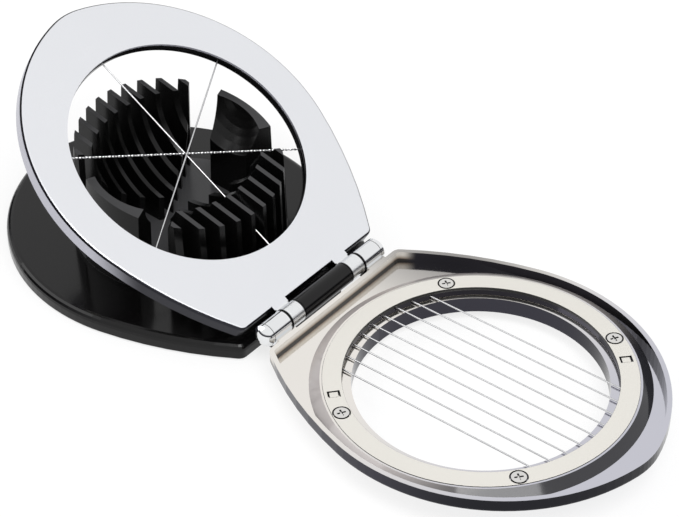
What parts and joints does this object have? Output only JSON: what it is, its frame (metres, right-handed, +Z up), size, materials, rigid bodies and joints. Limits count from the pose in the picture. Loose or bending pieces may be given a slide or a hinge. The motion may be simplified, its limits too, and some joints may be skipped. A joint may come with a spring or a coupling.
{
  "type": "egg slicer",
  "caption": "Hinged egg slicer with a finned egg cradle, a wedge-cutting wire lid and a slicing wire lid laid right back on the same hinge.",
  "frame": {"origin": "on the table, straight under the middle of the hinge pin", "axes": "+X from the hinge towards the open slicing lid's tip, the cradle and base lie to -X; +Y along the hinge pin; +Z up"},
  "size_m": [0.2456, 0.1064, 0.0675],
  "materials": {
    "black_gloss": "glossy moulded",
    "black_satin": "satin moulded",
    "rubber": "matt",
    "steel": "fine machined",
    "wire": "drawn wire",
    "bright_metal": "polished",
    "satin_metal": "satin",
    "cream": "satin stamped sheet"
  },
  "bodies": {
    "base": {"base_plate": "black_gloss", "egg_cradle": "black_satin", "cradle_screws": "steel", "rubber_feet": "rubber", "hinge_pin": "steel", "pin_caps": "bright_metal"},
    "wedge_lid": {"wedge_lid": "satin_metal", "wedge_wire_ring": "cream", "wedge_ring_screws": "steel", "wedge_wire_1": "wire", "wedge_wire_2": "wire", "wedge_wire_3": "wire"},
    "slicing_lid": {"slicing_lid": "bright_metal", "slicing_wire_ring": "cream", "slicing_ring_screws": "steel", "wire_anchors": "cream", "slicing_wire_1": "wire", "slicing_wire_2": "wire", "slicing_wire_3": "wire", "slicing_wire_4": "wire", "slicing_wire_5": "wire", "slicing_wire_6": "wire", "slicing_wire_7": "wire", "slicing_wire_8": "wire", "slicing_wire_9": "wire"}
  },
  "joints": [
    {"name": "wedge_hinge", "type": "hinge", "parent": "base", "child": "wedge_lid", "pos_m": [0, 0, 0.0107], "axis": [0, 1, 0], "range_deg": [-27.8, 20]},
    {"name": "slicing_hinge", "type": "hinge", "parent": "wedge_lid", "child": "slicing_lid", "pos_m": [0, 0, 0.0107], "axis": [0, 1, 0], "range_deg": [-149.1, 27.8]}
  ]
}
